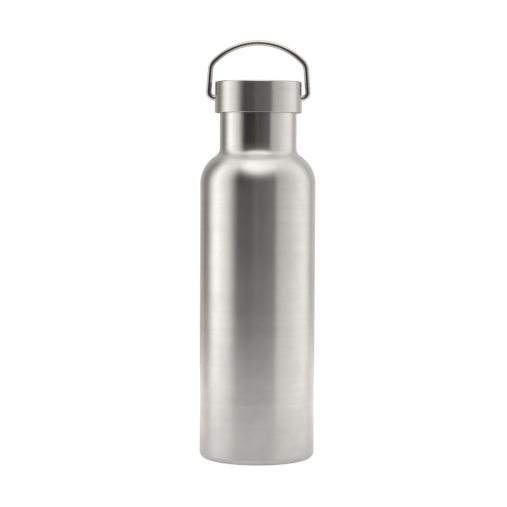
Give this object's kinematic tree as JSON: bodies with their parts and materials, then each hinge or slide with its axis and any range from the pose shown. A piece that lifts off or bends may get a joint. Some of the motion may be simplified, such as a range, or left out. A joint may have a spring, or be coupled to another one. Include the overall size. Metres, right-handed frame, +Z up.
{
  "type": "insulated bottle",
  "caption": "Double-wall steel drinking bottle with a narrow neck, a screw-on steel cap and a swinging wire carry bail.",
  "frame": {"origin": "on the floor, under the bottle's axis", "axes": "+Z up along the bottle's axis, X through the bail's two pivots, -Y towards the front"},
  "size_m": [0.073, 0.073, 0.2646],
  "materials": {
    "brushed_steel_body": "fine circumferential brushing, slightly warm",
    "brushed_steel_cap": "fine circumferential brushing",
    "plain_steel": "smooth electropolished",
    "polished_wire": "polished stainless wire",
    "black_plastic": "satin moulded polypropylene",
    "bush_plastic": "plain acetal",
    "silicone": "translucent white silicone",
    "foam": "closed-cell foam",
    "foil": "bright foil",
    "seal_glass": "glossy fused bead",
    "getter_metal": "sintered powder metal"
  },
  "bodies": {
    "bottle": {"outer_shell": "brushed_steel_body", "outer_base": "brushed_steel_body", "base_cover": "brushed_steel_body", "vacuum_seal_bead": "seal_glass", "inner_liner": "plain_steel", "liner_floor": "plain_steel", "foil_sleeve": "foil", "getter_pill": "getter_metal", "getter_holder": "plain_steel"},
    "gasket": {"lip_gasket": "silicone"},
    "cap": {"cap_shell": "brushed_steel_cap", "cap_core": "black_plastic", "cap_insulation": "foam", "plug_end_cap": "plain_steel", "pivot_bush_left": "bush_plastic", "pivot_bush_right": "bush_plastic"},
    "bail": {"bail_handle": "polished_wire"}
  },
  "joints": [
    {"name": "cap_lift", "type": "slide", "parent": "bottle", "child": "gasket", "axis": [0, 0, 1], "range_m": [0, 0.01801]},
    {"name": "cap_turn", "type": "hinge", "parent": "gasket", "child": "cap", "pos_m": [0, 0, 0.2232], "axis": [0, 0, 1], "range_deg": [0, 810]},
    {"name": "bail_swing", "type": "hinge", "parent": "cap", "child": "bail", "pos_m": [0, 0, 0.2281], "axis": [1, 0, 0], "range_deg": [-128, 128]}
  ],
  "couplings": [
    {"joint": "cap_lift", "follows": "cap_turn", "m_per_rad": 0.0012732}
  ]
}
